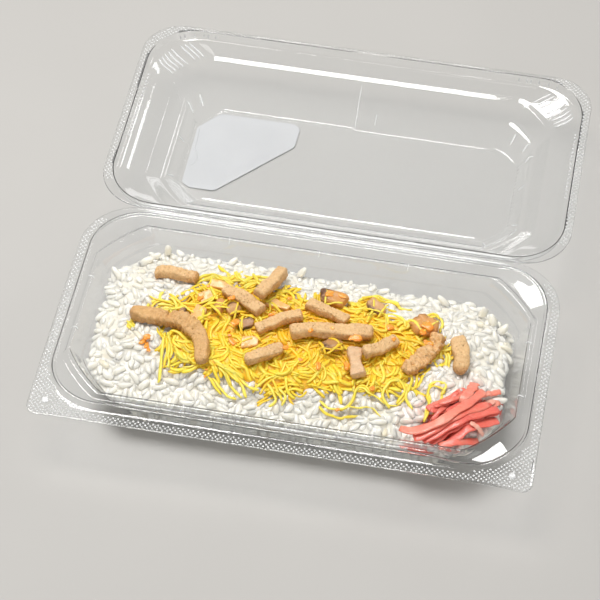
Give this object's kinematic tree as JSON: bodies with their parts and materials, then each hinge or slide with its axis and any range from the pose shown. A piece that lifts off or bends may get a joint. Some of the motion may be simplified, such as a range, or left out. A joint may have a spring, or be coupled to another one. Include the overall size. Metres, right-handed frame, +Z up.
{
  "type": "takeaway rice tray",
  "caption": "Open hinged pack of clear thermoformed sheet with a bed of rice under egg shreds, simmered strips, mushrooms, bamboo pieces and red ginger.",
  "frame": {"origin": "centre of the tray's flat underside, on the surface it stands on", "axes": "+Z up; +X along the pack's length and its hinge; +Y from the tray's front flange towards the hinge and the opened lid"},
  "size_m": [0.22, 0.2427, 0.0354],
  "materials": {
    "clear_sheet": "clear thin sheet, glossy",
    "sticker_paper": "plain pale sticker, satin",
    "rice": "cooked white rice, moist",
    "egg": "fried egg shreds, soft and slightly moist",
    "ginger": "red pickled ginger, wet",
    "bamboo": "simmered bamboo, moist",
    "mushroom": "simmered mushroom, wet",
    "mushroom_stem": "simmered stem, moist",
    "strip": "simmered fibrous strip, dull"
  },
  "bodies": {
    "tray": {"tray": "clear_sheet", "rice": "rice", "egg_shreds": "egg", "red_ginger": "ginger", "bamboo_01": "bamboo", "bamboo_02": "bamboo", "bamboo_03": "bamboo", "bamboo_04": "bamboo", "bamboo_05": "bamboo", "mushroom_01": "mushroom", "mushroom_02": "mushroom", "mushroom_03": "mushroom_stem", "mushroom_04": "mushroom", "mushroom_05": "mushroom", "mushroom_06": "mushroom", "mushroom_07": "mushroom", "mushroom_08": "mushroom", "mushroom_09": "mushroom", "strip_01": "strip", "strip_02": "strip", "strip_03": "strip", "strip_04": "strip", "strip_05": "strip", "strip_06": "strip", "strip_07": "strip", "strip_08": "strip", "strip_09": "strip", "strip_10": "strip", "strip_11": "strip", "strip_12": "strip"},
    "lid": {"lid": "clear_sheet", "sticker": "sticker_paper"}
  },
  "joints": [
    {"name": "lid_hinge", "type": "hinge", "parent": "tray", "child": "lid", "pos_m": [0, 0.06165, 0.02615], "axis": [1, 0, 0], "range_deg": [0, 180]}
  ]
}
